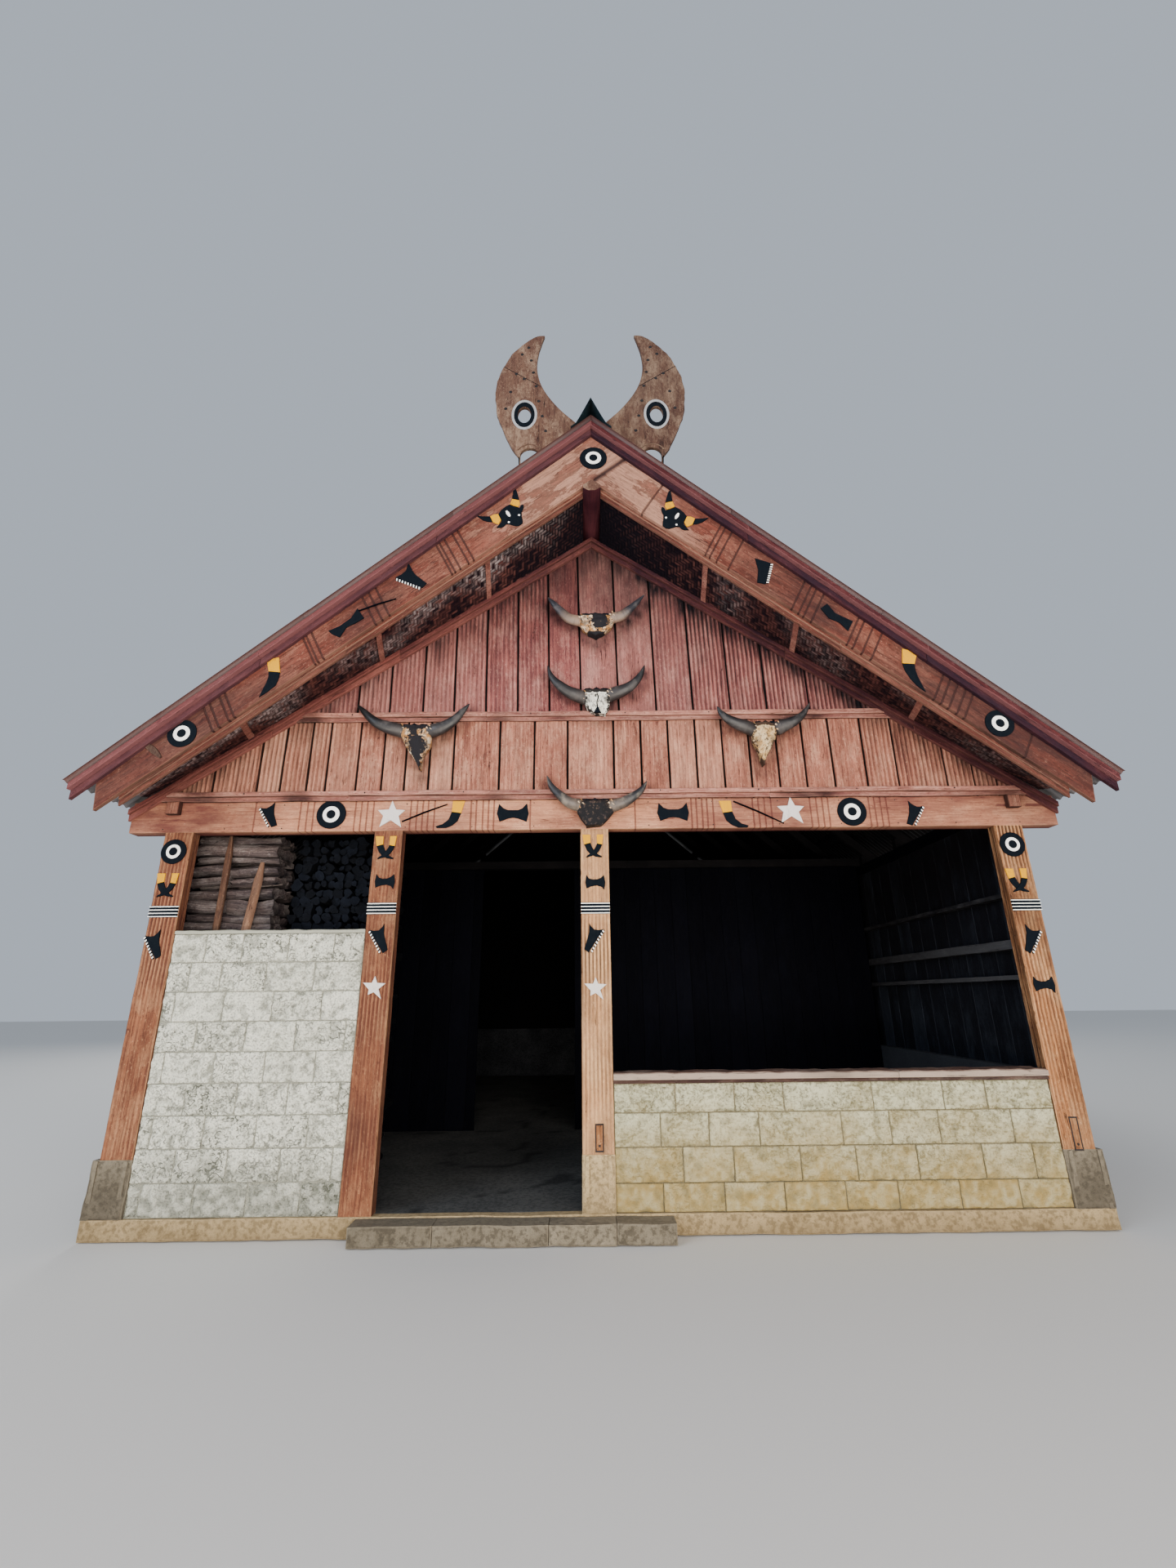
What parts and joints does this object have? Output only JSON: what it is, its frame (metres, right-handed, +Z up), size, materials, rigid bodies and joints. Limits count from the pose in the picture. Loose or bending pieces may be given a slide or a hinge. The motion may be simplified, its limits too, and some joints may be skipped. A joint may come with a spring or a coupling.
{
  "type": "morung dormitory house",
  "caption": "Gabled timber dormitory house on a stone base, with an open front porch, carved barge boards, buffalo skulls on the gable and crossed horn boards on the ridge.",
  "frame": {"origin": "on the ground, at the middle of the whole house with its roof", "axes": "+X to the right seen from the front, +Y from the front to the back, +Z up"},
  "size_m": [8.55, 10.835, 8.47],
  "materials": {
    "concrete": "worn, gritty, unpainted",
    "grey_stone": "rough blocks, greenish grey to tan",
    "white_stone": "rough whitish blocks",
    "post_wood": "fluted, orange brown, weathered",
    "red_wood": "fluted boards, red brown, weathered",
    "trim_wood": "painted dark red, satin",
    "dark_wood": "dark, sooty, matt",
    "sheet_metal": "corrugated, blue grey, dull",
    "ridge_metal": "dark green blue, satin",
    "matting": "woven strips, dark brown, matt",
    "horn_wood": "weathered, pinkish tan, matt",
    "bone": "dull, grey brown",
    "log_wood": "split logs, grey brown, matt"
  },
  "bodies": {
    "root": {"barge_board_left": "red_wood", "barge_board_right": "red_wood", "barge_strip_left": "red_wood", "barge_strip_right": "red_wood", "entrance_step": "concrete", "firewood_pile": "log_wood", "firewood_rack": "log_wood", "floor_slab": "concrete", "front_wall_cap": "post_wood", "front_wall_left": "white_stone", "front_wall_right": "grey_stone", "gable_boards_lower": "red_wood", "gable_boards_upper": "red_wood", "gable_rail": "red_wood", "lintel": "red_wood", "lintel_ledge": "red_wood", "pedestal_entrance_right": "concrete", "pedestal_outer_left": "concrete", "pedestal_outer_right": "concrete", "porch_beam": "dark_wood", "porch_wall_left": "dark_wood", "porch_wall_right": "dark_wood", "post_entrance_left": "post_wood", "post_entrance_right": "post_wood", "post_outer_left": "post_wood", "post_outer_right": "post_wood", "rake_moulding_left": "red_wood", "rake_moulding_right": "red_wood", "rake_trim_left": "trim_wood", "rake_trim_right": "trim_wood", "rear_barge_board_left": "red_wood", "rear_barge_board_right": "red_wood", "rear_wall_boards": "red_wood", "rear_wall_stone": "grey_stone", "ridge_beam": "trim_wood", "ridge_cap": "ridge_metal", "ridge_horn_left": "horn_wood", "ridge_horn_right": "horn_wood", "roof_frame_left": "dark_wood", "roof_frame_right": "dark_wood", "roof_left": "sheet_metal", "roof_right": "sheet_metal", "side_wall_boards_left": "red_wood", "side_wall_boards_right": "red_wood", "side_wall_stone_left": "grey_stone", "side_wall_stone_right": "grey_stone", "skull_left": "bone", "skull_lintel": "bone", "skull_middle": "bone", "skull_right": "bone", "skull_top": "bone", "soffit_left": "matting", "soffit_right": "matting", "wall_plate_left": "red_wood", "wall_plate_right": "red_wood"}
  },
  "joints": []
}
